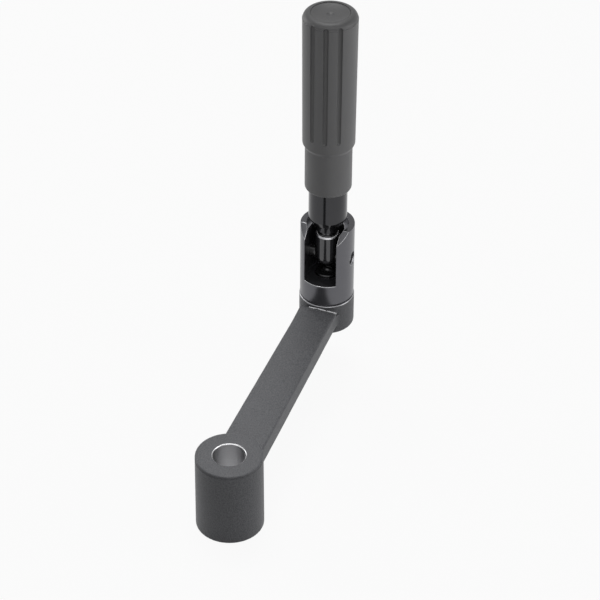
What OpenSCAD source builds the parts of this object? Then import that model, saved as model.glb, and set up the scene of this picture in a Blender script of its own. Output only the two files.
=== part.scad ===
// Crank handle with a fold-away cylinder grip, millimetres.
// The origin is the middle of the shaft bore, +X runs along the arm and +Z along the bore towards the grip.
// One casting carries hub, arm and boss. A slotted steel housing is screwed to the boss, and in it a rod
// swivels on a cross pin. A sleeve slides on the rod against a spring, and the grip turns on the sleeve.

/* [Crank] */
// Distance from the shaft bore to the axis of the grip
crank_radius = 125; // [100:1:180]

/* [Hub] */
// Diameter of the hub at its top face
hub_d = 29.5; // [27:0.5:36]
// Height of the hub
hub_h = 37.5; // [34:0.5:48]
// Growth of the hub's radius from top to bottom, the casting's draft
hub_draft = 0.18; // [0:0.02:0.4]
// Radius of the hub's top edge
hub_top_round = 0.6; // [0.2:0.1:1.5]
// Radius of the hub's bottom edge
hub_bottom_round = 0.6; // [0.4:0.1:2]
// Diameter of the shaft bore
bore_d = 14; // [8:0.5:16]
// Width of the bright chamfer at both mouths of the bore
bore_chamfer = 0.6; // [0.2:0.1:1]

/* [Arm] */
// Step from the hub's top face down to the arm's top face
arm_hub_drop = 6.1; // [3:0.1:9]
// Step from the boss's top face down to the lip at the end of the arm
arm_lip_drop = 2.5; // [1.5:0.1:4]
// Thickness of the arm at the hub
arm_hub_t = 9; // [7:0.1:12]
// Thickness of the arm at the boss
arm_boss_t = 9; // [6.5:0.1:10]
// Width of the arm at the hub
arm_hub_w = 19.2; // [15:0.1:20]
// Width of the arm at the boss
arm_boss_w = 17.3; // [14:0.1:18]
// Radius of the arm's long edges
arm_edge_round = 0.7; // [0.4:0.1:2]
// Relief between the arm's lip and the front of the boss
lip_gap = 0.8; // [0.4:0.1:1.5]
// Depth of the step behind the lip
lip_depth = 2.4; // [1:0.1:3]
// Radius of the fillets where the arm's sides meet the hub and the boss
arm_fillet = 2.5; // [1:0.1:4]

/* [Boss] */
// Diameter of the boss
boss_d = 25.4; // [25:0.1:30]
// Height of the boss
boss_h = 15.7; // [14.5:0.1:20]
// Radius of the boss's bottom edge
boss_bottom_round = 0.8; // [0.5:0.1:3]
// Chamfer of the boss's top edge
boss_top_chamfer = 0.4; // [0.2:0.1:0.8]

/* [Pivot housing] */
// Diameter of the housing
housing_d = 24.8; // [22.5:0.1:25]
// Height of the housing
housing_h = 38.9; // [38:0.1:40]
// Thickness of the housing's floor
housing_floor = 11.05; // [10:0.1:12]
// Width of the slot that the rod folds out through
slot_w = 15.2; // [13:0.1:16]
// Diameter of the counterbore in the housing's mouth
mouth_d = 19.2; // [18:0.1:20.5]
// Depth of the counterbore in the housing's mouth
mouth_depth = 2.5; // [1.5:0.1:3]
// Height of the slot's straight sides, up to where the front of the mouth is cut back at 45 degrees
slant_start = 22.1; // [18:0.1:24]
// Chamfer of the housing's bottom edge
housing_chamfer = 0.5; // [0.2:0.1:1]
// Diameter of the spigot that centres the housing in the boss
spigot_d = 12; // [9:0.1:14]
// Height of that spigot
spigot_h = 1.5; // [1:0.1:2.5]

/* [Housing screw] */
// Thread diameter of the screw
screw_d = 6; // [5:0.5:8]
// Diameter of the screw's head
screw_head_d = 10; // [9:0.1:12]
// Height of the screw's head
screw_head_h = 6; // [4:0.1:6.5]
// Length of the screw below its head
screw_length = 16; // [13:0.5:17]
// Width across flats of the screw's socket
screw_socket = 5; // [4:0.5:6]
// Depth of the recess that the head sits in
screw_recess = 5; // [3:0.1:6]

/* [Cross pin] */
// Diameter of the cross pin
pin_d = 6; // [4:0.5:7]
// Height of the pin above the boss's top face
pin_height = 21.75; // [20:0.05:23]
// How far the pin's ends lie inside the housing
pin_inset = 1.2; // [0.8:0.1:2]
// Depth of the countersinks outside the pin
pin_countersink = 0.7; // [0.3:0.1:0.8]

/* [Swivel rod] */
// Diameter of the rod's eye block
block_d = 11.5; // [10:0.1:12.5]
// Height of the block above the pin
block_rise = 12; // [10:0.1:13]
// Chamfer of the block's top edge
block_chamfer = 0.8; // [0.3:0.1:1.5]
// Diameter of the rod
rod_d = 8; // [6.5:0.1:8.5]

/* [Spindle] */
// Free neck between the block and the spindle
neck_gap = 2.4; // [1:0.1:3]
// Diameter of the pilot below the collar
pilot_d = 11.4; // [10:0.1:12]
// Height of the pilot
pilot_h = 4.3; // [3:0.1:6]
// Diameter of the collar
collar_d = 17.6; // [16:0.1:18]
// Height of the collar
collar_h = 19.9; // [15:0.1:25]
// Height of the taper at the collar's lower end
collar_taper = 2.8; // [1:0.1:5]
// Radius lost over that taper
collar_taper_r = 1.1; // [0.5:0.1:1.5]
// Diameter of the tube that the grip turns on
tube_d = 15; // [14.2:0.1:15.2]
// Length of the bore that slides on the rod
guide_length = 35.1; // [28:0.1:40]
// Diameter of the spring chamber
chamber_d = 12.4; // [12.3:0.05:12.6]

/* [Spring and nut] */
// Wire diameter of the return spring
wire_d = 1.3; // [0.8:0.1:1.4]
// Length of the spring as fitted
spring_length = 32; // [28:0.5:36]
// Active turns of the spring
spring_turns = 7; // [5:1:9]
// Thickness of the spring washer
washer_t = 1.2; // [0.8:0.1:2]
// Diameter of the spring washer
washer_d = 11.6; // [11:0.1:11.7]
// Thread diameter of the nut
nut_thread = 6; // [4:0.5:6]
// Width across flats of the nut
nut_flats = 10; // [8:0.1:10]
// Height of the nut
nut_h = 5; // [4:0.1:7]

/* [Grip] */
// Length of the grip
grip_length = 90.2; // [80:0.1:120]
// Diameter of the grip's body at its lower end
grip_d = 23.65; // [22.5:0.05:26]
// Growth of the body's radius up to the rim
grip_draft = 0.4; // [0:0.01:0.5]
// Diameter of the grip's plain sleeve
sleeve_d = 21.3; // [20:0.1:22]
// Length of the plain sleeve
sleeve_length = 22.3; // [15:0.1:35]
// Rounding of the sleeve's lower edge
sleeve_round = 1.3; // [0.5:0.1:1.5]
// Height of the shoulder between sleeve and body
shoulder_h = 1.9; // [1:0.1:4]
// Height of the rounded rim
rim_h = 2.6; // [1:0.1:4]
// Small step that sets the rim off from the body
rim_step = 0.15; // [0.05:0.05:0.3]
// Overlap of the grip over the top of the collar
collar_overlap = 1.5; // [1:0.1:4]
// Width of a grip groove
groove_w = 2.2; // [1.5:0.1:3]
// Depth of a grip groove
groove_depth = 0.95; // [0.5:0.05:1.1]
// Distance from the shoulder to the grooves' lower ends
groove_start = 4.7; // [2:0.1:15]
// How far the grooves run up into the rim
groove_rise = 1.1; // [0.5:0.1:2]
// Grooves in each of the two groups
groove_count = 3; // [1:1:5]
// Angle between the grooves of a group
groove_pitch = 30; // [20:1:36]
// Turn of the middle groove away from the arm
groove_turn = 10.3; // [-45:0.1:45]

/* [End cap] */
// Diameter of the end cap
cap_d = 17.4; // [17.2:0.1:19]
// Height of the end cap
cap_h = 5; // [3:0.1:6]
// Depth of the cap's dish
dish_depth = 0.8; // [0.3:0.1:1.5]
// Diameter of the small dimple in the dish
dimple_d = 3.4; // [2:0.1:6]

/* [Retaining ring] */
// Thickness of the ring that holds the grip on the tube
ring_t = 1.2; // [0.8:0.1:1.6]
// Outside diameter of that ring
ring_d = 16.8; // [16:0.1:16.8]
// Depth of the ring's groove in the tube
ring_groove = 0.55; // [0.3:0.05:0.6]
// Width of the ring's opening
ring_opening = 4; // [2:0.5:8]

/* [Clearances] */
// Radial clearance of a piece that turns or slides on another
running_fit = 0.03; // [0.01:0.01:0.08]
// Radial clearance of a piece that sits fast in another
seat_fit = 0.02; // [0.01:0.01:0.05]
// Axial play of the grip between collar and ring
axial_play = 0.1; // [0.05:0.05:0.3]

/* [Hidden] */
$fn = 96;
// Overshoot of a cut past the face that it opens
cut = 1;
// Edge break of turned steel pieces
edge = 0.4;
// How far a fillet's round reaches into the faces that it joins
bite = 0.05;

// Heights, from the bore's middle up
top_z = hub_h / 2;
lip_z = top_z - arm_lip_drop;
boss_bottom_z = top_z - boss_h;
floor_z = top_z + housing_floor;
housing_top_z = top_z + housing_h;
slant_z = floor_z + slant_start;
pin_z = top_z + pin_height;
head_seat_z = floor_z - screw_recess;
block_top_z = pin_z + block_rise;
pilot_z = block_top_z + neck_gap;
collar_z = pilot_z + pilot_h;
collar_top_z = collar_z + collar_h;
chamber_z = pilot_z + guide_length;
washer_z = chamber_z + spring_length;
nut_z = washer_z + washer_t;
rod_top_z = nut_z + nut_h + 1.5 * edge;
grip_z = collar_top_z - collar_overlap;
shoulder_z = grip_z + sleeve_length;
body_z = shoulder_z + shoulder_h;
grip_top_z = grip_z + grip_length;
rim_z = grip_top_z - rim_h;
// The cap's rim stands this far below the grip's end
cap_sink = 0.2;
cap_z = grip_top_z - cap_sink - cap_h;
// Room between the cap and the end of the tube
cap_room = 2.6;
tube_top_z = cap_z - cap_room;
// Tube left above the retaining ring
tube_end = 1.8;
ring_z = tube_top_z - tube_end - ring_t;
ledge_z = ring_z - axial_play;

// Radii
hub_r = hub_d / 2;
boss_r = boss_d / 2;
housing_r = housing_d / 2;
cavity_r = slot_w / 2;
pin_r = pin_d / 2;
block_r = block_d / 2;
rod_r = rod_d / 2;
collar_r = collar_d / 2;
tube_r = tube_d / 2;
chamber_r = chamber_d / 2;
sleeve_r = sleeve_d / 2;
grip_r = grip_d / 2;
rim_r = grip_r + grip_draft;
cap_r = cap_d / 2;
spring_r = (rod_r + chamber_r) / 2;
// Clearance of the grip's skirt around the collar's top
skirt_gap = 0.4;

// Points along an arc about c, from angle a0 to angle a1
function arc(c, r, a0, a1, n = 6) =
    [for (i = [0:n]) let (a = a0 + (a1 - a0) * i / n) c + r * [cos(a), sin(a)]];

// Outline of a rectangle with round corners, centred on the origin
function round_rect(w, h, r) = concat(
    arc([w / 2 - r, h / 2 - r], r, 0, 90), arc([r - w / 2, h / 2 - r], r, 90, 180),
    arc([r - w / 2, r - h / 2], r, 180, 270), arc([w / 2 - r, r - h / 2], r, 270, 360));

// Straight-line value at x between two known points
function between(x, x0, y0, x1, y1) = y0 + (y1 - y0) * (x - x0) / (x1 - x0);

lip_x = crank_radius - boss_r + lip_gap;
function arm_top(x) = between(x, hub_r, top_z - arm_hub_drop, lip_x, lip_z);
function arm_t(x) = between(x, hub_r, arm_hub_t, lip_x, arm_boss_t);
function arm_w(x) = between(x, hub_r, arm_hub_w, lip_x, arm_boss_w);

// Moves a piece onto the axis of the grip
module at_grip() translate([crank_radius, 0, 0]) children();

// Round bore with a 45 degree chamfer at both ends, centred on the origin
module chamfered_bore(r, h, c) {
    rotate_extrude()
        polygon([[0, -h / 2 - cut], [r + c + cut, -h / 2 - cut], [r, c - h / 2],
                 [r, h / 2 - c], [r + c + cut, h / 2 + cut], [0, h / 2 + cut]]);
}

// Corners of the arm's cross-section at x
function arm_ring(x) =
    [for (p = round_rect(arm_w(x), arm_t(x), arm_edge_round)) [x, p[0], arm_top(x) - arm_t(x) / 2 + p[1]]];

// The arm's bar between two places, with straight sides and round long edges
module arm_bar(x0, x1) {
    n = len(arm_ring(x0));
    polyhedron(concat(arm_ring(x0), arm_ring(x1)),
        concat([[for (i = [0:n - 1]) i], [for (i = [0:n - 1]) 2 * n - 1 - i]],
               [for (i = [0:n - 1]) [i, n + i, n + (i + 1) % n, (i + 1) % n]]));
}

// Upright fillets in both corners between the arm's sides and a round of radius r at x.
// dir is 1 where the arm runs towards +X from the round, and -1 where it runs towards -X.
module side_fillets(x, r, dir, low, high) {
    half = arm_w(x + dir * r) / 2;
    reach = sqrt(pow(r + arm_fillet, 2) - pow(half + arm_fillet, 2));
    foot = reach * r / (r + arm_fillet);
    foot_y = (half + arm_fillet) * r / (r + arm_fillet);
    for (side = [-1, 1])
        translate([x, 0, low])
            linear_extrude(high - low)
                difference() {
                    polygon([[dir * (foot - 1), side * (half - 1)], [dir * reach, side * (half - 1)],
                             [dir * reach, side * half], [dir * foot, side * foot_y],
                             [dir * (foot - 1), side * (foot_y - 0.5)]]);
                    translate([dir * reach, side * (half + arm_fillet)]) circle(arm_fillet + bite);
                }
}

module crank_arm() color([0.25, 0.25, 0.26]) difference() {
    union() {
        rotate_extrude()
            polygon(concat([[0, -top_z]],
                arc([hub_r + hub_draft - hub_bottom_round, hub_bottom_round - top_z], hub_bottom_round, -90, 0),
                arc([hub_r - hub_top_round, top_z - hub_top_round], hub_top_round, 0, 90),
                [[0, top_z]]));
        at_grip()
            rotate_extrude()
                polygon(concat([[0, boss_bottom_z]],
                    arc([boss_r - boss_bottom_round, boss_bottom_z + boss_bottom_round],
                        boss_bottom_round, -90, 0),
                    [[boss_r, top_z - boss_top_chamfer], [boss_r - boss_top_chamfer, top_z], [0, top_z]]));
        // The arm, with the step behind its lip
        difference() {
            arm_bar(bore_d / 2 + edge, crank_radius - boss_r / 2);
            translate([lip_x, -arm_hub_w / 2, lip_z - lip_depth]) cube([boss_r, arm_hub_w, arm_boss_t]);
        }
        side_fillets(0, hub_r, 1, arm_top(hub_r) - arm_hub_t + arm_edge_round,
                     arm_top(hub_r) - arm_edge_round);
        side_fillets(crank_radius, boss_r, -1, lip_z - arm_boss_t + arm_edge_round, lip_z - lip_depth);
    }
    chamfered_bore(bore_d / 2, hub_h, bore_chamfer);
    at_grip() {
        translate([0, 0, top_z - spigot_h - edge])
            cylinder(r = spigot_d / 2 + seat_fit, h = spigot_h + edge + cut);
        translate([0, 0, head_seat_z - screw_length - edge])
            cylinder(r = screw_d / 2 + seat_fit, h = screw_length);
    }
}

module pivot_housing() color([0.16, 0.16, 0.17]) at_grip() difference() {
    rotate_extrude()
        polygon([[0, top_z - spigot_h], [spigot_d / 2 - edge, top_z - spigot_h],
                 [spigot_d / 2, top_z - spigot_h + edge], [spigot_d / 2, top_z],
                 [housing_r - housing_chamfer, top_z], [housing_r, top_z + housing_chamfer],
                 [housing_r, housing_top_z - edge], [housing_r - edge, housing_top_z], [0, housing_top_z]]);
    // Cavity around the block, and the slot that opens it towards the hub
    translate([0, 0, floor_z]) cylinder(r = cavity_r, h = housing_h);
    translate([-housing_r - cut, -cavity_r, floor_z]) cube([housing_r + cut, slot_w, housing_h]);
    // Counterbore of the mouth, and the slanted cut that takes away its front for the folding sleeve
    translate([0, 0, housing_top_z - mouth_depth]) cylinder(r = mouth_d / 2, h = mouth_depth + cut);
    slot_front = sqrt(pow(housing_r, 2) - pow(cavity_r, 2));
    slant_rise = housing_top_z - slant_z + cut;
    rotate([90, 0, 0])
        linear_extrude(housing_d + cut, center = true)
            polygon([[-slot_front - cut, slant_z - cut], [slant_rise - slot_front, slant_z + slant_rise],
                     [-slot_front - cut, slant_z + slant_rise]]);
    // Holes of the cross pin, countersunk outside
    translate([0, 0, pin_z]) rotate([90, 0, 0]) cylinder(r = pin_r + seat_fit, h = housing_d + cut, center = true);
    for (side = [-1, 1])
        translate([0, side * housing_r, pin_z])
            rotate([side * 90, 0, 0])
                cylinder(r1 = pin_r + pin_countersink, r2 = pin_r, h = pin_countersink);
    // Hole and recess of the screw
    translate([0, 0, top_z - spigot_h - cut]) cylinder(r = screw_d / 2 + 0.5, h = floor_z);
    translate([0, 0, head_seat_z]) cylinder(r = screw_head_d / 2 + 0.3, h = housing_floor);
}

module housing_screw() color([0.13, 0.13, 0.14]) at_grip() difference() {
    translate([0, 0, head_seat_z])
        rotate_extrude()
            polygon([[0, -screw_length], [screw_d / 2 - edge, -screw_length],
                     [screw_d / 2, edge - screw_length], [screw_d / 2, 0], [screw_head_d / 2, 0],
                     [screw_head_d / 2, screw_head_h - edge], [screw_head_d / 2 - edge, screw_head_h],
                     [0, screw_head_h]]);
    translate([0, 0, head_seat_z + screw_head_h / 2])
        cylinder(d = screw_socket / cos(30), h = screw_head_h, $fn = 6);
}

module cross_pin() color([0.5, 0.5, 0.52]) at_grip()
    translate([0, housing_r - pin_inset, pin_z])
        rotate([90, 0, 0])
            rotate_extrude()
                polygon([[0, 0], [pin_r - edge, 0], [pin_r, edge], [pin_r, 2 * (housing_r - pin_inset) - edge],
                         [pin_r - edge, 2 * (housing_r - pin_inset)], [0, 2 * (housing_r - pin_inset)]]);

module swivel_rod() color([0.18, 0.18, 0.19]) at_grip() difference() {
    union() {
        // The block's ball end, which turns about the pin
        translate([0, 0, pin_z]) sphere(block_r);
        rotate_extrude()
            polygon([[0, pin_z], [block_r, pin_z], [block_r, block_top_z - block_chamfer],
                     [block_r - block_chamfer, block_top_z], [rod_r, block_top_z], [rod_r, washer_z],
                     [nut_thread / 2, washer_z], [nut_thread / 2, rod_top_z - edge],
                     [nut_thread / 2 - edge, rod_top_z], [0, rod_top_z]]);
    }
    translate([0, 0, pin_z]) rotate([90, 0, 0]) cylinder(r = pin_r + running_fit, h = block_d + cut, center = true);
}

// Height of the spring's wire after some turns, with one closed turn at each end. The ends are ground flat,
// a third of the wire deep, so the wire's centre starts and stops a sixth of the wire from them.
closed_turns = 1;
all_turns = spring_turns + 2 * closed_turns;
spring_rise = spring_length - wire_d / 3;
closed_rise = closed_turns * wire_d;
function coil_z(turn) =
    turn < closed_turns ? turn * wire_d
    : turn > all_turns - closed_turns ? spring_rise - (all_turns - turn) * wire_d
    : between(turn, closed_turns, closed_rise, all_turns - closed_turns, spring_rise - closed_rise);

module pull_spring() color([0.55, 0.55, 0.57]) at_grip() {
    steps = 18;
    sides = 7;
    rings = all_turns * steps;
    points = [for (i = [0:rings], k = [0:sides - 1])
        let (turn = i / steps, a = 360 * k / sides, r = spring_r + wire_d / 2 * cos(a))
        [r * cos(360 * turn), r * sin(360 * turn), coil_z(turn) + wire_d / 2 * sin(a)]];
    skin = [for (i = [0:rings - 1], k = [0:sides - 1])
        let (a = i * sides + k, b = i * sides + (k + 1) % sides) [a, a + sides, b + sides, b]];
    intersection() {
        translate([0, 0, chamber_z + wire_d / 6])
            polyhedron(concat(points), concat(skin, [[for (k = [0:sides - 1]) k]],
                [[for (k = [sides - 1:-1:0]) rings * sides + k]]));
        translate([0, 0, chamber_z]) cylinder(r = chamber_r, h = spring_length);
    }
}

module spring_washer() color([0.6, 0.6, 0.62]) at_grip()
    translate([0, 0, washer_z]) difference() {
        cylinder(d = washer_d, h = washer_t);
        translate([0, 0, -cut]) cylinder(r = nut_thread / 2 + seat_fit, h = washer_t + 2 * cut);
    }

module rod_nut() color([0.6, 0.6, 0.62]) at_grip()
    translate([0, 0, nut_z]) difference() {
        intersection() {
            cylinder(d = nut_flats / cos(30), h = nut_h, $fn = 6);
            // Corners chamfered at 30 degrees
            rotate_extrude()
                polygon([[0, 0], [nut_flats / 2, 0], [nut_flats / 2 + 2 * edge, edge],
                         [nut_flats / 2 + 2 * edge, nut_h - edge], [nut_flats / 2, nut_h], [0, nut_h]]);
        }
        translate([0, 0, -cut]) cylinder(r = nut_thread / 2 + seat_fit, h = nut_h + 2 * cut);
    }

module spindle() color([0.15, 0.15, 0.16]) at_grip() rotate_extrude()
    polygon([[rod_r + running_fit, pilot_z], [pilot_d / 2 - edge, pilot_z], [pilot_d / 2, pilot_z + edge],
             [pilot_d / 2, collar_z], [collar_r - collar_taper_r, collar_z],
             [collar_r, collar_z + collar_taper], [collar_r, collar_top_z], [tube_r, collar_top_z],
             [tube_r, ring_z], [tube_r - ring_groove, ring_z], [tube_r - ring_groove, ring_z + ring_t],
             [tube_r, ring_z + ring_t], [tube_r, tube_top_z], [chamber_r, tube_top_z],
             [chamber_r, chamber_z], [rod_r + running_fit, chamber_z]]);

module retaining_ring() color([0.4, 0.4, 0.42]) at_grip() translate([0, 0, ring_z]) difference() {
    cylinder(d = ring_d, h = ring_t);
    translate([0, 0, -cut]) cylinder(r = tube_r - ring_groove + seat_fit, h = ring_t + 2 * cut);
    translate([0, -ring_opening / 2, -cut]) cube([ring_d, ring_opening, ring_t + 2 * cut]);
}

module grip() color([0.31, 0.31, 0.32]) at_grip() difference() {
    rotate_extrude()
        polygon(concat(
            arc([sleeve_r - sleeve_round, grip_z + sleeve_round], sleeve_round, -90, 0),
            [[sleeve_r, shoulder_z], [grip_r, body_z], [rim_r, rim_z]],
            [for (a = [0:15:75]) [cap_r + (rim_r - rim_step - cap_r) * cos(a), rim_z + rim_h * sin(a)]],
            [[cap_r + seat_fit, grip_top_z], [cap_r + seat_fit, ledge_z], [tube_r + running_fit, ledge_z],
             [tube_r + running_fit, collar_top_z + axial_play], [collar_r + skirt_gap, collar_top_z + axial_play],
             [collar_r + skirt_gap, grip_z]]));
    // Two groups of grooves with round ends, which reach from the sleeve's shoulder into the rim
    groove_r = (pow(groove_w / 2, 2) + pow(groove_depth, 2)) / (2 * groove_depth);
    groove_z = body_z + groove_start + groove_r;
    groove_l = rim_z + groove_rise - groove_r - groove_z;
    for (group = [0, 180], i = [0:groove_count - 1])
        rotate([0, 0, 180 + groove_turn + group + (i - (groove_count - 1) / 2) * groove_pitch])
            translate([grip_r + grip_draft / 2 - groove_depth + groove_r, 0, groove_z]) {
                sphere(groove_r);
                cylinder(r = groove_r, h = groove_l);
                translate([0, 0, groove_l]) sphere(groove_r);
            }
}

module end_cap() color([0.3, 0.3, 0.31]) at_grip() {
    rim_w = 0.7;
    wall = 1.6;
    dish_r = cap_r - rim_w;
    top = cap_z + cap_h;
    dimple_r = dimple_d / 2;
    rotate_extrude()
        polygon(concat(
            [[0, top - dish_depth - wall], [cap_r - wall, top - dish_depth - wall], [cap_r - wall, cap_z],
             [cap_r - edge, cap_z], [cap_r, cap_z + edge], [cap_r, top]],
            // The dish falls from the rim in a shallow curve, down to the dimple
            [for (i = [0:8]) let (r = between(i, 0, dish_r, 8, dimple_r))
                [r, top - dish_depth * (1 - pow((r - dimple_r) / (dish_r - dimple_r), 2))]],
            [for (i = [1:4]) let (r = dimple_r * (1 - i / 4))
                [r, top - dish_depth - 0.5 * (1 - pow(r / dimple_r, 2))]]));
}

crank_arm();
pivot_housing();
housing_screw();
cross_pin();
swivel_rod();
pull_spring();
spring_washer();
rod_nut();
spindle();
retaining_ring();
grip();
end_cap();
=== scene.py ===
"""Looks of the crank handle: a powder-coated casting, black-finished steel and a grooved plastic grip."""

import math

import bmesh
import bpy
from mathutils import Matrix, Vector


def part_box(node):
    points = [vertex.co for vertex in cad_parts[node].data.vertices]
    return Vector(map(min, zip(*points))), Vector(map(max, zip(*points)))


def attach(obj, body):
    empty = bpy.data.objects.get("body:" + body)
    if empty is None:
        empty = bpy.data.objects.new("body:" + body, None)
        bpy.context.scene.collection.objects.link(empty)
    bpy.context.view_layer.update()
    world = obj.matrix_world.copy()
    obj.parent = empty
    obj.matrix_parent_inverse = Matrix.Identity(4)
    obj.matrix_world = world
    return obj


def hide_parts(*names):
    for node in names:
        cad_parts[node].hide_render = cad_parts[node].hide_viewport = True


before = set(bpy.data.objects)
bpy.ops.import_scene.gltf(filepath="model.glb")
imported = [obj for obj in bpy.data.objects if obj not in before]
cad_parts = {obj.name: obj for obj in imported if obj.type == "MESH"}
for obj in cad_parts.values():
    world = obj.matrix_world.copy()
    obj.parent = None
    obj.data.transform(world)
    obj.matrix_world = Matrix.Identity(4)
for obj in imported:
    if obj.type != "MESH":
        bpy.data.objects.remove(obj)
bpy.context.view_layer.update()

MM = 0.001


def node_box(node):
    """Lowest and highest corner of a node, in millimetres."""
    return tuple(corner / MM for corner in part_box(node))


arm_low, arm_high = node_box("crank_arm")
housing_low, housing_high = node_box("pivot_housing")
screw_low, screw_high = node_box("housing_screw")
pin_low, pin_high = node_box("cross_pin")
rod_high = node_box("swivel_rod")[1]
sleeve_low, sleeve_high = node_box("spindle")
ring_low = node_box("retaining_ring")[0]
grip_low, grip_high = node_box("grip")
cap_low, cap_high = node_box("end_cap")

# Places and sizes read from the frame. They and all sizes of the pieces are in millimetres.
AXIS_X = (grip_low.x + grip_high.x) / 2
TOP_Z = arm_high.z
HUB_BOTTOM_Z = arm_low.z
HUB_FOOT_R = -arm_low.x
BOSS_R = arm_high.x - AXIS_X
HOUSING_R = housing_high.y
HOUSING_TOP_Z = housing_high.z
PIN_R = (pin_high.z - pin_low.z) / 2
PIN_Z = (pin_high.z + pin_low.z) / 2
PIN_HALF = pin_high.y
BLOCK_R = rod_high.y
COLLAR_R = sleeve_high.y
RIM_R = grip_high.y
CAP_R = cap_high.y

# Hub and its bore
HUB_DRAFT = 0.18
HUB_R = HUB_FOOT_R - HUB_DRAFT
HUB_TOP_ROUND = 0.6
HUB_FOOT_ROUND = 0.3
BORE_R = 7.0
BORE_CHAMFER = 0.45
# Fine line that the facing tool leaves below the hub's upper edge
LINE_DROP = 1.15
LINE_DEPTH = 0.45
LINE_H = 0.9

# Boss. The facing tool takes the stock off its top.
BOSS_H = 15.7
BOSS_STOCK = 0.5
BOSS_FOOT_ROUND = 0.8
BOSS_CHAMFER = 0.45

# Arm. It starts inside the hub, a root's length from the bore. Drops are counted from the faced top, and
# the lip is the arm's upper end at the boss.
ARM_ROOT = 1.0
ARM_HUB_DROP = 6.1
ARM_LIP_DROP = 2.5
ARM_T = 9.0
ARM_HUB_W = 19.2
ARM_BOSS_W = 17.3
ARM_EDGE = 0.7
ARM_CROWN = 0.45
CROWN_SINK = 0.25
CROWN_CUTS = 9
ARM_FILLET = 2.5
FILLET_SINK = 1
FILLET_STEPS = 8
LIP_GAP = 0.8
LIP_DEPTH = 2.4
LIP_X = AXIS_X - BOSS_R + LIP_GAP
LIP_Z = TOP_Z - ARM_LIP_DROP

# The arm swells up to a straight edge just before the round boss. It swells less towards its sides by the
# share SWELL_FALL, and widens by the share FLARE. Points up to EDGE_REACH past the edge move with it.
EDGE_GAP = 0.02
EDGE_X = AXIS_X - BOSS_R - EDGE_GAP
EDGE_REACH = 0.5
SWELL = 1.3
SWELL_L = 14
SWELL_X = EDGE_X - SWELL_L
SWELL_FALL = 0.15
SWELL_DEPTH = 4.0
SWELL_FADE = 3.0
FLARE = 0.115
FLARE_LEFT = 0.02
FLARE_L = 22
FLARE_X = EDGE_X - FLARE_L
RELIEF_STEPS = 24
BEAD_W = 0.45
BEAD_H = 0.3
BEAD_LEFT = 4.0
BEAD_RIGHT = 9.3
BEAD_CUTS = 20

# Skin of the casting
CAST_VOXEL = 0.42
CAST_SEGMENTS = 4
SOFT_FACTOR = 0.5
SOFT_PASSES = 4

# Pivot housing
HOUSING_FLOOR = 11.05
SLOT_R = 7.6
MOUTH_R = 9.6
MOUTH_DEPTH = 2.5
SLANT_START = 22.1
FLOOR_Z = TOP_Z + HOUSING_FLOOR
SLANT_Z = FLOOR_Z + SLANT_START
SPIGOT_R = 6.0
SCREW_HOLE_R = 3.5
RECESS_R = 5.3
COUNTERSINK = 0.7
SEAM_DEPTH = 0.5
SEAM_H = 0.6
SEAM_ROUND = 0.15
HOUSING_LEVELS = 16

# Screw
SCREW_R = 3.0
SCREW_ROUND = 0.4
HEAD_R = screw_high.y
HEAD_H = 6.0
HEAD_SEAT_Z = screw_high.z - HEAD_H
SOCKET = 5.0
SOCKET_SIDES = 6
SOCKET_EDGE = 0.15

# Pin
PIN_ROUND = 0.4
PIN_STEPS = 64

# Swivel rod
BLOCK_RISE = 12.0
BLOCK_CHAMFER = 0.8
BLOCK_ROUND = 0.2
BLOCK_STEPS = 24
BLOCK_TOP_Z = PIN_Z + BLOCK_RISE
ROD_R = 4.0
ROD_ROUND = 0.4
THREAD_R = 3.0
THREAD_L = 11.8

# Sleeve
PILOT_R = 5.7
PILOT_L = 4.3
PILOT_Z = sleeve_low.z
COLLAR_L = 19.9
COLLAR_Z = PILOT_Z + PILOT_L
COLLAR_TOP_Z = COLLAR_Z + COLLAR_L
TAPER_H = 2.8
TAPER_R = 1.1
NOSE_ROUND = 0.35
TUBE_R = 7.5
TUBE_ROUND = 0.3
CHAMBER_R = 6.2
CHAMBER_RISE = 35.1
CHAMBER_Z = PILOT_Z + CHAMBER_RISE

# Grip
GRIP_Z = grip_low.z
GRIP_TOP_Z = grip_high.z
PLAIN_R = 10.65
PLAIN_L = 22.3
PLAIN_ROUND = 1.3
SHOULDER_H = 1.9
SHOULDER_ROUND = 0.4
SHOULDER_Z = GRIP_Z + PLAIN_L
BODY_Z = SHOULDER_Z + SHOULDER_H
BODY_TAPER = 0.4
GRIP_R = RIM_R - BODY_TAPER
RIM_H = 2.6
RIM_Z = GRIP_TOP_Z - RIM_H
RIM_STEP = 0.15
RIM_EDGE = 0.07
RIM_TURNS = range(0, 85, 8)
SKIRT_GAP = 0.4
SKIRT_R = COLLAR_R + SKIRT_GAP
SKIRT_ROUND = 0.2
GROOVE_W = 2.2
GROOVE_DEPTH = 0.95
GROOVE_START = 4.7
GROOVE_RISE = 1.1
GROOVE_COUNT = 3
GROOVE_PITCH = math.radians(30)
GROOVE_TURN = math.radians(10.3)
GROOVE_EDGE = 0.12
GROOVE_STEPS = 32
GROOVE_END_STEPS = 8

# End cap
DISH_DEPTH = 0.8
DISH_STEPS = 12
DIMPLE_R = 1.7
DIMPLE_DEPTH = 0.5
DIMPLE_STEPS = 6
CAP_RIM = 0.7
CAP_WALL = 1.6
CAP_ROUND = 0.15

# Clearance of turned pieces that run on each other, and of the grip's ledges from what they face
FIT = 0.03
LEDGE_GAP = 0.1
# Overshoot of a cutter past the face that it opens
PAST = 1.0
# Width of the broken edges of turned and milled steel
EDGE = 0.22
# Steps of a full turn, and the angle from which an edge counts as sharp
ROUND_STEPS = 128
SHARP = math.radians(32)
# Upward slope of the edges that hands and dust rub bright, and that take a painted highlight from the lamps
# above
RUBBED_LIT_LOW = 0.3
RUBBED_LIT_HIGH = 0.97
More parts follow.
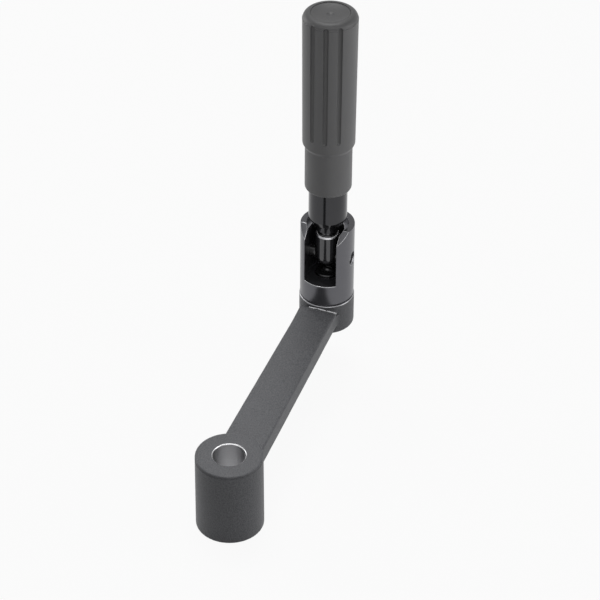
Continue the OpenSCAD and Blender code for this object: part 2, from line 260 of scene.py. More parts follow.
# Distances under which points count as one: after turning, at a corner that is looked for, after a cut, and
# on a level
TURN_NEAR = 1e-4
CORNER_NEAR = 1e-3
CUT_NEAR = 0.01
LEVEL_NEAR = 0.005
# Pull of the larger faces on the even shading, where 50 is neutral
SHADE_WEIGHT = 80
# Places of a piece's second, third and fourth finish
SECOND = 1
THIRD = 2
FOURTH = 3


# Camera

CAMERA_PLACE = Vector((-777.57, -310.92, 731.95)) * MM
CAMERA_AZIMUTH = math.radians(-70.25)
CAMERA_ELEVATION = math.radians(36.98)
CAMERA_ROLL = math.radians(0.35)
CAMERA_LENS = 154.2
CAMERA_SENSOR = 36.0
CAMERA_CLIP = (0.05, 50)


def make_camera():
    """Stands where the photograph was taken from, looking along the arm and down."""
    level = math.cos(CAMERA_ELEVATION)
    forward = Vector((-math.sin(CAMERA_AZIMUTH) * level, math.cos(CAMERA_AZIMUTH) * level,
                      -math.sin(CAMERA_ELEVATION)))
    right = Vector((math.cos(CAMERA_AZIMUTH), math.sin(CAMERA_AZIMUTH), 0))
    up = right.cross(forward)
    turn = Matrix.Rotation(-CAMERA_ROLL, 3, forward)
    right, up = turn @ right, turn @ up
    data = bpy.data.cameras.new("camera")
    data.sensor_width = CAMERA_SENSOR
    data.lens = CAMERA_LENS
    data.clip_start, data.clip_end = CAMERA_CLIP
    camera = bpy.data.objects.new("camera", data)
    bpy.context.scene.collection.objects.link(camera)
    axes = Matrix((right, up, -forward)).transposed()
    camera.matrix_world = Matrix.Translation(CAMERA_PLACE) @ axes.to_4x4()
    bpy.context.scene.camera = camera


make_camera()


# Shader maths

class Signal:
    """A value that changes over the surface. Its signs add the Math nodes that they stand for."""

    def __init__(self, network, socket):
        self.network = network
        self.socket = socket

    def _math(self, operation, first, second):
        return self.network.node("ShaderNodeMath", {"operation": operation}, {0: first, 1: second})

    def __add__(self, other):
        return self._math("ADD", self, other)

    def __radd__(self, other):
        return self._math("ADD", other, self)

    def __mul__(self, other):
        return self._math("MULTIPLY", self, other)

    def __rmul__(self, other):
        return self._math("MULTIPLY", other, self)

    def over(self, low, high):
        """0 below low, 1 above high and a straight ramp between them."""
        return self.network.node("ShaderNodeMapRange", {"clamp": True}, {0: self, 1: low, 2: high})


class Network:
    """The nodes of a material or of the world, under construction."""

    def __init__(self, owner, output):
        owner.use_nodes = True
        self.tree = owner.node_tree
        self.tree.nodes.clear()
        self.output = self.tree.nodes.new(output)

    def node(self, kind, settings=None, inputs=None, output=0):
        """Adds a node: its settings first, then the values or links of its sockets."""
        made = self.tree.nodes.new(kind)
        for key, value in (settings or {}).items():
            setattr(made, key, value)
        for key, value in (inputs or {}).items():
            self.feed(made.inputs[key], value)
        return Signal(self, made.outputs[output])

    def feed(self, socket, value):
        """Gives a socket a link or a constant."""
        if isinstance(value, Signal):
            self.tree.links.new(value.socket, socket)
        else:
            socket.default_value = value

    def show(self, surface):
        """Makes a shader the one that is seen."""
        self.feed(self.output.inputs["Surface"], surface)

    def seen_white(self):
        """1 for rays that see the white background: the camera's, mirrored ones and those through glass."""
        camera, glossy, glass = [self.node("ShaderNodeLightPath", output=kind) for kind in
                                 ("Is Camera Ray", "Is Glossy Ray", "Is Transmission Ray")]
        return self.node("ShaderNodeMath", {"operation": "MINIMUM"}, {0: camera + glossy + glass, 1: 1.0})


class Finish(Network):
    """A material under construction. Constants go on the shader's own sockets."""

    def __init__(self, name, **constants):
        self.material = bpy.data.materials.new(name)
        super().__init__(self.material, "ShaderNodeOutputMaterial")
        self.shader = self.tree.nodes.new("ShaderNodeBsdfPrincipled")
        self.lit = Signal(self, self.shader.outputs[0])
        self.show(self.lit)
        self.drive(**constants)

    def drive(self, **inputs):
        """Sets the shader's sockets, with an underscore for each space in their names."""
        for socket, value in inputs.items():
            self.feed(self.shader.inputs[socket.replace("_", " ")], value)

    def place(self, scale=(1, 1, 1), centre=(0, 0, 0)):
        """Object coordinates, centred on a point and stretched."""
        start = self.node("ShaderNodeTexCoord", output="Object")
        offset = [-c * s for c, s in zip(centre, scale)]
        return self.node("ShaderNodeMapping", {}, {"Vector": start, "Location": offset, "Scale": scale})

    def noise(self, scale, detail=2, roughness=0.5, where=None):
        """Noise over the Object coordinates, or over another place."""
        return self.node("ShaderNodeTexNoise", {}, {"Vector": where or self.place(), "Scale": scale,
                                                    "Detail": detail, "Roughness": roughness})

    def blend(self, factor, first, second):
        """Colour between two colours, either of which may be a Signal."""
        ends = [colour if isinstance(colour, Signal) else (*colour, 1) for colour in (first, second)]
        return self.node("ShaderNodeMix", {"data_type": "RGBA"}, {0: factor, 6: ends[0], 7: ends[1]}, 2)

    def bump(self, height, distance):
        self.drive(Normal=self.node("ShaderNodeBump", {}, {"Height": height, "Distance": distance}))


# Finishes. Noise scales are per metre, and bump distances are in metres.

COAT_GRAIN = 1500
COAT_CLOUDS = 60
COAT_BUMP = 0.00005
COAT_DARK = (0.050, 0.051, 0.055)
COAT_LIGHT = (0.128, 0.130, 0.138)
BORING_RINGS = (60, 60, 7000)
BORING_BUMP = 0.00006
TURNING_RINGS = (40, 40, 7000)
TURNING_BUMP = 0.000004
OXIDE_STAIN = 220
GROUND_MARKS = (3000, 400, 3000)
GROUND_DARK = (0.42, 0.42, 0.44)
GROUND_LIGHT = (0.62, 0.62, 0.64)
MOULD_GRAIN = 2600
MOULD_CLOUDS = 90
MOULD_BUMP = 0.00003
# Painted shade: the plastic is darker round the grip's top end, between these heights
RIM_PAINTED_SHADE = (0.045, 0.045, 0.046)
RIM_SHADE_Z = ((RIM_Z - 0.3) * MM, (RIM_Z + 2.2) * MM)


def shades(base, spread):
    """A darker and a lighter shade of a colour."""
    return tuple((1 - spread) * c for c in base), tuple((1 + spread) * c for c in base)


def powder_coat():
    """Fine-structured matt coat: a sandy grain with slightly paler tips."""
    finish = Finish("powder_coat", Specular_IOR_Level=0.3)
    grain = finish.noise(COAT_GRAIN, detail=3, roughness=0.6).over(0.32, 0.68)
    clouds = finish.noise(COAT_CLOUDS)
    tone = grain * 0.75 + clouds * 0.25
    finish.drive(Base_Color=finish.blend(tone, COAT_DARK, COAT_LIGHT), Roughness=grain * 0.2 + 0.4)
    finish.bump(grain, COAT_BUMP)
    return finish.material


def bare_steel(name, base, roughness):
    """Steel or iron left bare by the boring or facing tool, with fine tool rings."""
    finish = Finish(name, Metallic=1.0)
    rings = finish.noise(1, detail=3, roughness=0.7, where=finish.place(BORING_RINGS))
    tone = finish.blend(rings, *shades(base, 0.2))
    finish.drive(Base_Color=tone, Roughness=rings * 0.16 + (roughness - 0.08))
    finish.bump(rings, BORING_BUMP)
    return finish.material


def black_steel(name, base, roughness):
    """Turned steel with a black oxide finish: faint rings round the grip's axis."""
    finish = Finish(name, Metallic=0.85)
    where = finish.place(TURNING_RINGS, (AXIS_X * MM, 0, 0))
    rings = finish.noise(1, detail=3, roughness=0.6, where=where)
    stain = finish.noise(OXIDE_STAIN, detail=3)
    mix = rings * 0.6 + stain * 0.4
    tone = finish.blend(mix, *shades(base, 0.15))
    finish.drive(Base_Color=tone, Roughness=mix * 0.1 + (roughness - 0.05))
    finish.bump(rings, TURNING_BUMP)
    return finish.material


def bright_steel():
    """Ground steel of the hidden spring, washer, nut and ring."""
    finish = Finish("bright_steel", Metallic=1.0)
    marks = finish.noise(1, detail=2, roughness=0.6, where=finish.place(GROUND_MARKS))
    finish.drive(Base_Color=finish.blend(marks, GROUND_DARK, GROUND_LIGHT), Roughness=marks * 0.15 + 0.15)
    return finish.material


def grip_plastic(name, base):
    """Matt moulded plastic with a very fine spark-eroded grain, and painted shade that darkens the grip's
    top end.
    """
    finish = Finish(name, Specular_IOR_Level=0.35)
    grain = finish.noise(MOULD_GRAIN)
    clouds = finish.noise(MOULD_CLOUDS)
    tone = grain * 0.4 + clouds * 0.6
    height = finish.node("ShaderNodeSeparateXYZ", {}, {0: finish.place()}, 2)
    # Painted shade over the top end, against the stronger light that falls there
    end = height.over(*RIM_SHADE_Z)
    body = finish.blend(tone, *shades(base, 0.1))
    finish.drive(Base_Color=finish.blend(end, body, RIM_PAINTED_SHADE), Roughness=grain * 0.16 + 0.38)
    finish.bump(grain, MOULD_BUMP)
    return finish.material


COAT = powder_coat()
BORED = bare_steel("bored_iron", (0.66, 0.66, 0.67), 0.3)
FACED = bare_steel("faced_iron", (0.27, 0.27, 0.28), 0.3)
# Partly wear, partly painted highlight: bright bare steel on the edges that face up to the lamps
RUBBED_HIGHLIGHT = bare_steel("rubbed_highlight_edge", (0.34, 0.34, 0.35), 0.25)
HOUSING_STEEL = black_steel("housing_steel", (0.125, 0.125, 0.135), 0.3)
# Painted shade: a darker copy of the housing steel for its top ring and slant, which dims their reflections
HOUSING_SHADED_FACE = black_steel("housing_face_painted_shade", (0.07, 0.07, 0.075), 0.22)
SLEEVE_STEEL = black_steel("sleeve_steel", (0.050, 0.050, 0.053), 0.13)
ROD_STEEL = black_steel("rod_steel", (0.085, 0.085, 0.088), 0.1)
# Painted shade: the ground pin is drawn in dark steel for the shade inside the slot
PIN_SHADED_STEEL = black_steel("pin_painted_shade_steel", (0.06, 0.06, 0.06), 0.15)
SCREW_STEEL = black_steel("screw_steel", (0.06, 0.06, 0.062), 0.25)
BRIGHT = bright_steel()
GRIP_PLASTIC = grip_plastic("grip_plastic", (0.135, 0.135, 0.137))
# Painted shade: a darker copy of the grip plastic for the shade in the grooves
GROOVE_SHADED_PLASTIC = grip_plastic("groove_plastic_painted_shade", (0.11, 0.11, 0.111))
# Painted shade: the cap's plastic is drawn darker than the grip's, against the light on its dish
CAP_SHADED_PLASTIC = grip_plastic("cap_plastic_painted_shade", (0.05, 0.05, 0.051))
# What a cutter's place of finish stands for on the casting
CAST_FINISHES = (COAT, RUBBED_HIGHLIGHT, BORED, FACED)


def dress(piece, *finishes):
    """Gives a piece its finishes, in place of any that it has."""
    piece.data.materials.clear()
    for finish in finishes:
        piece.data.materials.append(finish)


for hidden in ("pull_spring", "spring_washer", "rod_nut", "retaining_ring"):
    dress(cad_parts[hidden], BRIGHT)


# Mesh tools. Shapes are built in millimetres round the upright axis, and moved and shrunk at the end.

def between(x, x0, y0, x1, y1):
    """Height at x of the straight line through two points."""
    return y0 + (y1 - y0) * (x - x0) / (x1 - x0)


def share(x, start, end):
    """0 at the start, 1 at the end and a straight ramp between them."""
    return max(0, min(1, (x - start) / (end - start)))


def arc(centre, radius, start, end, steps=6):
    """Points of an arc in an outline, angles in degrees."""
    turns = [math.radians(start + (end - start) * i / steps) for i in range(steps + 1)]
    return [(centre[0] + radius * math.cos(a), centre[1] + radius * math.sin(a)) for a in turns]


def runs_along(edge, axis):
    """Whether an edge covers more than a millimetre of an axis."""
    first, second = edge.verts
    return abs(first.co[axis] - second.co[axis]) > 1


def lathe(outline, closed=False, steps=ROUND_STEPS):
    """Turns an outline of (radius, height) points round the upright axis."""
    bm = bmesh.new()
    points = [bm.verts.new((radius, 0, height)) for radius, height in outline]
    ends = points[1:] + points[:1] if closed else points[1:]
    edges = [bm.edges.new(pair) for pair in zip(points, ends)]
    bmesh.ops.spin(bm, geom=points + edges, cent=(0, 0, 0), axis=(0, 0, 1), angle=2 * math.pi,
                   steps=steps, use_merge=True)
    bmesh.ops.remove_doubles(bm, verts=bm.verts, dist=TURN_NEAR)
    bmesh.ops.recalc_face_normals(bm, faces=bm.faces)
    return bm


def round_rings(bm, corners, width, segments=3):
    """Rounds the ring edges that stand at some (radius, height) corners of a turned shape."""
    def on_corner(vert):
        from_axis = math.hypot(vert.co.x, vert.co.y)
        return any(abs(from_axis - radius) < CORNER_NEAR and abs(vert.co.z - height) < CORNER_NEAR
                   for radius, height in corners)

    edges = [edge for edge in bm.edges if all(on_corner(vert) for vert in edge.verts)
             and abs(edge.verts[0].co.z - edge.verts[1].co.z) < TURN_NEAR]
    bmesh.ops.bevel(bm, geom=edges, offset=width, segments=segments, profile=0.5, affect="EDGES",
                    material=-1)
    return bm


def prism(outline, low, high, upright=True):
    """Pushes a flat outline straight up, or along Y where it isn't upright."""
    bm = bmesh.new()
    if upright:
        points = [bm.verts.new((x, y, low)) for x, y in outline]
        push = (0, 0, high - low)
    else:
        points = [bm.verts.new((x, low, z)) for x, z in outline]
        push = (0, high - low, 0)
    face = bm.faces.new(points)
    made = bmesh.ops.extrude_face_region(bm, geom=[face])
    pushed = [item for item in made["geom"] if isinstance(item, bmesh.types.BMVert)]
    bmesh.ops.translate(bm, vec=push, verts=pushed)
    bmesh.ops.recalc_face_normals(bm, faces=bm.faces)
    return bm


def moved(bm, x=0, y=0, z=0):
    """Shifts a shape."""
    bmesh.ops.translate(bm, vec=(x, y, z), verts=bm.verts)
    return bm


def across(bm):
    """Lays a turned shape down along Y, at the pin's height."""
    quarter = Matrix.Rotation(math.radians(90), 3, "X")
    bmesh.ops.rotate(bm, cent=(0, 0, 0), matrix=quarter, verts=bm.verts)
    return moved(bm, z=PIN_Z)


def loose_object(name, bm, *finishes):
    """Makes an object of a shape. Its finishes go on first, so that the faces keep their places."""
    mesh = bpy.data.meshes.new(name)
    for finish in finishes:
        mesh.materials.append(finish)
    bm.to_mesh(mesh)
    bm.free()
    thing = bpy.data.objects.new(name, mesh)
    bpy.context.scene.collection.objects.link(thing)
    return thing


def settle(thing):
    """Returns an object's shape with its modifiers applied, and removes the object."""
    bpy.context.view_layer.update()
    graph = bpy.context.evaluated_depsgraph_get()
    bm = bmesh.new()
    bm.from_mesh(thing.evaluated_get(graph).to_mesh())
    bpy.data.objects.remove(thing)
    return bm


def carve(body, cutters, place=0, operation="DIFFERENCE"):
    """Cuts shapes out of a body, or joins them to it. The new faces take the finish at the given place."""
    thing = loose_object("body", body, *CAST_FINISHES)
    tools = []
    for cutter in cutters:
        for face in cutter.faces:
            face.material_index = place
        tools.append(loose_object("cutter", cutter, *CAST_FINISHES))
    for tool in tools:
        step = thing.modifiers.new("cut", "BOOLEAN")
        step.object = tool
        step.operation = operation
        step.solver = "EXACT"
        step.material_mode = "INDEX"
    result = settle(thing)
    for tool in tools:
        bpy.data.objects.remove(tool)
    bmesh.ops.remove_doubles(result, verts=result.verts, dist=CUT_NEAR)
    bmesh.ops.dissolve_degenerate(result, edges=result.edges, dist=CUT_NEAR)
    return result


def cut_levels(bm, low, high, count):
    """Cuts a shape's long walls into short ones, so that a notch spoils the shading only near itself."""
    for level in range(1, count):
        height = between(level, 0, low, count, high)
        bmesh.ops.bisect_plane(bm, geom=bm.verts[:] + bm.edges[:] + bm.faces[:], dist=LEVEL_NEAR,
                               plane_co=(0, 0, height), plane_no=(0, 0, 1))


def is_rubbed_and_lit(face):
    """Whether a face slopes upwards as a worn edge does, which also takes the painted highlight."""
    return RUBBED_LIT_LOW < face.normal.z < RUBBED_LIT_HIGH


def break_edges(bm, width, rubbed_lit=False):
    """Bevels the sharp outer edges of a shape. Worn ones that face up take the second finish, which is
    partly wear and partly painted highlight.
    """
    edges = [edge for edge in bm.edges if len(edge.link_faces) == 2 and edge.is_convex
             and edge.calc_face_angle(0) > SHARP]
    made = bmesh.ops.bevel(bm, geom=edges, offset=width, segments=2, profile=0.5, affect="EDGES",
                           clamp_overlap=False, material=-1)
    bm.normal_update()
    # Painted highlight, partly wear: upward bevels take the bright steel
    if rubbed_lit:
        for face in made["faces"]:
            if is_rubbed_and_lit(face):
                face.material_index = SECOND


def finish_piece(name, bm, body, node, slot, *finishes, centre_x=AXIS_X):
    """Moves a shape to its place in metres and hands it over, smooth, on its body and for its node."""
    bmesh.ops.translate(bm, vec=(centre_x, 0, 0), verts=bm.verts)
    bmesh.ops.scale(bm, vec=(MM, MM, MM), verts=bm.verts)
    for face in bm.faces:
        face.smooth = True
    piece = loose_object(name, bm, *finishes)
    weigh = piece.modifiers.new("even shading", "WEIGHTED_NORMAL")
    weigh.weight = SHADE_WEIGHT
    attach(piece, body)
    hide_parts(node)


# Casting. It is built about the hub's axis.

def arm_top(x):
    """Height of the arm's top without its crown."""
    return between(x, HUB_R, TOP_Z - ARM_HUB_DROP, LIP_X, LIP_Z)


def arm_half(x):
    """Half of the arm's width."""
    return between(x, HUB_R, ARM_HUB_W / 2, LIP_X, ARM_BOSS_W / 2)


def crown(y, half):
    """How far the arm's top stands above its long edges."""
    return ARM_CROWN * max(0, 1 - (y / (half - ARM_EDGE)) ** 2)


def arm_bar(x0, x1):
    """The tapering bar with rounded long edges and a slightly crowned top."""
    bm = bmesh.new()
    bmesh.ops.create_cube(bm, size=1)
    for vert in bm.verts:
        x = x1 if vert.co.x > 0 else x0
        side = 1 if vert.co.y > 0 else -1
        vert.co = (x, side * arm_half(x), arm_top(x) - (CROWN_SINK if vert.co.z > 0 else ARM_T))
    long_edges = [edge for edge in bm.edges if runs_along(edge, 0)]
    bmesh.ops.bevel(bm, geom=long_edges, offset=ARM_EDGE, segments=3, profile=0.5, affect="EDGES",
                    material=-1)
    bm.normal_update()
    top = max(bm.faces, key=lambda face: face.normal.z)
    rungs = [edge for edge in top.edges if not runs_along(edge, 0)]
    bmesh.ops.subdivide_edges(bm, edges=rungs, cuts=CROWN_CUTS, use_grid_fill=True)
    for vert in bm.verts:
        if vert.co.z > arm_top(vert.co.x) - 2 * CROWN_SINK:
            vert.co.z += crown(vert.co.y, arm_half(vert.co.x))
    return bm


def side_fillet(x, radius, direction, side, low, high):
    """Fillet in the corner between the arm's side and a round of a given radius."""
    half = arm_half(x + direction * radius)
    reach = math.sqrt((radius + ARM_FILLET) ** 2 - (half + ARM_FILLET) ** 2)
    centre = (reach, half + ARM_FILLET)
    start = math.degrees(math.atan2(-centre[1], -centre[0]))
    inner_x = reach * radius / (radius + ARM_FILLET) - FILLET_SINK
    inner_y = half - FILLET_SINK
    points = arc(centre, ARM_FILLET, -90, start, FILLET_STEPS) + [(inner_x, inner_y), (reach, inner_y)]
    return prism([(x + direction * px, side * py) for px, py in points], low, high)


def swell(x, y):
    """How far the arm's end stands above the crowned taper. The crown fades out there."""
    end = SWELL * (1 - SWELL_FALL * (2 * y / ARM_BOSS_W) ** 2)
    return share(x, SWELL_X, EDGE_X) ** 2 * (end - crown(y, ARM_BOSS_W / 2))


def raise_end(bm):
    """Swells the arm's top up to its end and flares it, mostly to the right."""
    half = ARM_BOSS_W / 2
    for vert in bm.verts:
        x, y, z = vert.co
        if FLARE_X < x < EDGE_X + EDGE_REACH:
            near_top = share(z, arm_top(x) - SWELL_DEPTH, arm_top(x))
            near = near_top ** 2 * share(abs(y), half + SWELL_FADE, half)
            vert.co.z += swell(x, y) * near
            flare = FLARE_LEFT if y > 0 else FLARE
            vert.co.y *= 1 + flare * share(x, FLARE_X, EDGE_X) ** 2 * near


def cast_skin():
    """Hub, arm and boss as they leave the mould."""
    hub = lathe([(0, HUB_BOTTOM_Z), (HUB_FOOT_R, HUB_BOTTOM_Z), (HUB_R, TOP_Z), (0, TOP_Z)])
    round_rings(hub, [(HUB_FOOT_R, HUB_BOTTOM_Z)], HUB_FOOT_ROUND, CAST_SEGMENTS)
    round_rings(hub, [(HUB_R, TOP_Z)], HUB_TOP_ROUND, CAST_SEGMENTS)
    foot_z = TOP_Z - BOSS_H
    stock_z = TOP_Z + BOSS_STOCK
    boss = lathe([(0, foot_z), (BOSS_R, foot_z), (BOSS_R, stock_z), (0, stock_z)])
    round_rings(boss, [(BOSS_R, foot_z)], BOSS_FOOT_ROUND, CAST_SEGMENTS)
    parts = [arm_bar(BORE_R + ARM_ROOT, AXIS_X - BOSS_R / 2), moved(boss, AXIS_X)]
    for side in (-1, 1):
        parts.append(side_fillet(0, HUB_R, 1, side, arm_top(HUB_R) - ARM_T + ARM_EDGE,
                                 arm_top(HUB_R) - ARM_EDGE))
    for side in (-1, 1):
        parts.append(side_fillet(AXIS_X, BOSS_R, -1, side, LIP_Z - ARM_T + ARM_EDGE, LIP_Z - LIP_DEPTH))
    cast = loose_object("cast", carve(hub, parts, operation="UNION"))
    skin = cast.modifiers.new("cast skin", "REMESH")
    skin.mode = "VOXEL"
    skin.voxel_size = CAST_VOXEL
    soften = cast.modifiers.new("soft edges", "SMOOTH")
    soften.factor = SOFT_FACTOR
    soften.iterations = SOFT_PASSES
    bm = settle(cast)
    raise_end(bm)
    return bm


def relief():
    """The wedges of air between the arm's straight end and the round boss."""
    half = ARM_BOSS_W / 2 * (1 + FLARE) + PAST
    out = math.degrees(math.asin(half / BOSS_R))
    wall = arc((AXIS_X, 0), BOSS_R, 180 - out, 180 + out, RELIEF_STEPS)
    return prism([(EDGE_X, -half), (EDGE_X, half)] + wall, LIP_Z - LIP_DEPTH, TOP_Z + PAST)


def hub_line():
    """Cutter of the fine line round the hub."""
    line_z = TOP_Z - LINE_DROP
    return lathe([(HUB_R - LINE_DEPTH, line_z), (HUB_R + PAST, line_z - LINE_H),
                  (HUB_R + PAST, line_z + LINE_H)], closed=True)


def edge_bead():
    """Low bead on the arm's straight end, in bright worn steel that is partly a painted highlight."""
    profile = [(EDGE_X - BEAD_W, -BEAD_H), (EDGE_X - BEAD_W, 0), (EDGE_X - BEAD_W / 2, BEAD_H),
               (EDGE_X, BEAD_H), (EDGE_X, -BEAD_H)]
    bead = prism([(x, LIP_Z - CROWN_SINK + h) for x, h in profile], -BEAD_RIGHT, BEAD_LEFT,
                 upright=False)
    long_edges = [edge for edge in bead.edges if runs_along(edge, 1)]
    bmesh.ops.subdivide_edges(bead, edges=long_edges, cuts=BEAD_CUTS)
    for vert in bead.verts:
        vert.co.z += swell(vert.co.x, vert.co.y) + crown(vert.co.y, ARM_BOSS_W / 2)
    return bead


def shaft_bore():
    """Cutter of the shaft bore, with its chamfers."""
    wide = BORE_R + BORE_CHAMFER + PAST
    return lathe([(0, HUB_BOTTOM_Z - PAST), (wide, HUB_BOTTOM_Z - PAST),
                  (BORE_R, HUB_BOTTOM_Z + BORE_CHAMFER), (BORE_R, TOP_Z - BORE_CHAMFER),
                  (wide, TOP_Z + PAST), (0, TOP_Z + PAST)])


def boss_facing():
    """Cutter that faces and chamfers the boss's top."""
    wide = BOSS_R + PAST
    cutter = lathe([(0, TOP_Z), (BOSS_R - BOSS_CHAMFER, TOP_Z), (wide, TOP_Z - BOSS_CHAMFER - PAST),
                    (wide, TOP_Z + 2 * PAST), (0, TOP_Z + 2 * PAST)])
    return moved(cutter, AXIS_X)


def make_casting():
    casting = carve(cast_skin(), [relief(), hub_line()])
    # Painted highlight, partly wear: the bead takes the bright steel
    casting = carve(casting, [edge_bead()], SECOND, "UNION")
    casting = carve(casting, [shaft_bore()], THIRD)
    casting = carve(casting, [boss_facing()], FOURTH)
    finish_piece("coated_casting", casting, "crank", "crank_arm", "powder_coat", *CAST_FINISHES,
                 centre_x=0)


# Pivot housing with its screw and pin. From here on, pieces are built about the grip's axis.

def housing_blank(foot_z):
    """The turned housing before its slot is milled, with a seam at its foot."""
    spigot_z = housing_low.z
    bore_z = HOUSING_TOP_Z - MOUTH_DEPTH
    foot_r = HOUSING_R - SEAM_DEPTH
    blank = lathe([(0, spigot_z), (SPIGOT_R, spigot_z), (SPIGOT_R, TOP_Z), (foot_r, TOP_Z),
                   (foot_r, foot_z), (HOUSING_R, foot_z), (HOUSING_R, HOUSING_TOP_Z),
                   (MOUTH_R, HOUSING_TOP_Z), (MOUTH_R, bore_z), (0, bore_z)])
    round_rings(blank, [(HOUSING_R, foot_z)], SEAM_ROUND, 2)
    # Painted shade: the top ring takes the darker copy of the housing steel
    for face in blank.faces:
        if face.calc_center_median().z > HOUSING_TOP_Z - CUT_NEAR:
            face.material_index = THIRD
    return round_rings(blank, [(HOUSING_R, HOUSING_TOP_Z), (MOUTH_R, HOUSING_TOP_Z)], EDGE)


def housing_slot():
    """Cutter of the slot, open towards the hub."""
    wide = -HOUSING_R - PAST
    end = arc((0, 0), SLOT_R, -90, 90, ROUND_STEPS // 2)
    return prism([(wide, SLOT_R), (wide, -SLOT_R)] + end, FLOOR_Z, HOUSING_TOP_Z + PAST)


def housing_slant():
    """Cutter that slants the mouth's front back at 45 degrees."""
    front = math.sqrt(HOUSING_R ** 2 - SLOT_R ** 2)
    rise = HOUSING_TOP_Z - SLANT_Z + PAST
    outline = [(-front - PAST, SLANT_Z - PAST), (rise - front, SLANT_Z + rise),
               (-front - PAST, SLANT_Z + rise)]
    return prism(outline, -HOUSING_R - PAST, HOUSING_R + PAST, upright=False)


def screw_hole():
    """Cutter of the screw's hole and of the recess round its head."""
    foot_z = housing_low.z - PAST
    return lathe([(0, foot_z), (SCREW_HOLE_R, foot_z), (SCREW_HOLE_R, HEAD_SEAT_Z),
                  (RECESS_R, HEAD_SEAT_Z), (RECESS_R, FLOOR_Z + PAST), (0, FLOOR_Z + PAST)])


def pin_hole():
    """Cutter of the pin's hole, countersunk at both ends."""
    wide = HOUSING_R + PAST
    mouth = PIN_R + COUNTERSINK + PAST
    outline = [(0, -wide), (mouth, -wide), (PIN_R, COUNTERSINK - HOUSING_R),
               (PIN_R, HOUSING_R - COUNTERSINK), (mouth, wide), (0, wide)]
    return across(lathe(outline, steps=PIN_STEPS))


def make_housing():
    foot_z = TOP_Z + SEAM_H
    housing = carve(housing_blank(foot_z), [housing_slot(), screw_hole(), pin_hole()])
    # Painted shade: the slant takes the darker copy of the housing steel too
    housing = carve(housing, [housing_slant()], THIRD)
    cut_levels(housing, foot_z, HOUSING_TOP_Z, HOUSING_LEVELS)
    break_edges(housing, EDGE, rubbed_lit=True)
    finish_piece("slotted_housing", housing, "crank", "pivot_housing", "black_steel", HOUSING_STEEL,
                 RUBBED_HIGHLIGHT, HOUSING_SHADED_FACE)


def make_screw():
    foot, top = screw_low.z, screw_high.z
    body = lathe([(0, foot), (SCREW_R, foot), (SCREW_R, HEAD_SEAT_Z), (HEAD_R, HEAD_SEAT_Z),
                  (HEAD_R, top), (0, top)])
    round_rings(body, [(SCREW_R, foot), (HEAD_R, top), (HEAD_R, HEAD_SEAT_Z)], SCREW_ROUND)
    socket = bmesh.new()
    corner_r = SOCKET / math.sqrt(3)
    bmesh.ops.create_cone(socket, cap_ends=True, segments=SOCKET_SIDES, radius1=corner_r,
                          radius2=corner_r, depth=HEAD_H)
    screw = carve(body, [moved(socket, z=top)])
    break_edges(screw, SOCKET_EDGE)
    finish_piece("socket_screw", screw, "crank", "housing_screw", "black_steel", SCREW_STEEL)


def make_pin():
    pin = lathe([(0, -PIN_HALF), (PIN_R, -PIN_HALF), (PIN_R, PIN_HALF), (0, PIN_HALF)], steps=PIN_STEPS)
    round_rings(pin, [(PIN_R, -PIN_HALF), (PIN_R, PIN_HALF)], PIN_ROUND)
    # Painted shade: the bright pin takes the dark steel
    finish_piece("ground_pin", across(pin), "crank", "cross_pin", "bright_steel", PIN_SHADED_STEEL)


# Swivel rod and sleeve

def make_rod():
    top = rod_high.z
    thread_z = top - THREAD_L
    block_edge = [(BLOCK_R, BLOCK_TOP_Z - BLOCK_CHAMFER), (BLOCK_R - BLOCK_CHAMFER, BLOCK_TOP_Z)]
    body = lathe(arc((0, PIN_Z), BLOCK_R, -90, 0, BLOCK_STEPS) + block_edge
                 + [(ROD_R, BLOCK_TOP_Z), (ROD_R, thread_z), (THREAD_R, thread_z), (THREAD_R, top),
                    (0, top)])
    round_rings(body, block_edge, BLOCK_ROUND)
    round_rings(body, [(THREAD_R, top), (ROD_R, thread_z)], ROD_ROUND)
    eye_r = PIN_R + FIT
    wide = BLOCK_R + PAST
    eye = across(lathe([(0, -wide), (eye_r, -wide), (eye_r, wide), (0, wide)], steps=PIN_STEPS))
    rod = carve(body, [eye])
    break_edges(rod, EDGE)
    # Painted highlight, partly wear: the block's upward chamfer takes the bright steel
    for face in rod.faces:
        height = face.calc_center_median().z
        if BLOCK_TOP_Z - BLOCK_CHAMFER < height < BLOCK_TOP_Z and is_rubbed_and_lit(face):
            face.material_index = SECOND
    finish_piece("eye_rod", rod, "swivel", "swivel_rod", "black_steel", ROD_STEEL, RUBBED_HIGHLIGHT)


def make_sleeve():
    top = sleeve_high.z
    bore_r = ROD_R + FIT
    nose = [(COLLAR_R - TAPER_R, COLLAR_Z), (COLLAR_R, COLLAR_Z + TAPER_H)]
    sleeve = lathe([(bore_r, PILOT_Z), (PILOT_R, PILOT_Z), (PILOT_R, COLLAR_Z)] + nose
                   + [(COLLAR_R, COLLAR_TOP_Z), (TUBE_R, COLLAR_TOP_Z), (TUBE_R, top), (CHAMBER_R, top),
                      (CHAMBER_R, CHAMBER_Z), (bore_r, CHAMBER_Z)], closed=True)
    round_rings(sleeve, [(PILOT_R, PILOT_Z), (TUBE_R, top)], TUBE_ROUND)
    round_rings(sleeve, nose, NOSE_ROUND)
    round_rings(sleeve, [(COLLAR_R, COLLAR_TOP_Z)], EDGE)
    finish_piece("turned_sleeve", sleeve, "sleeve", "spindle", "black_steel", SLEEVE_STEEL)


# Grip and cap

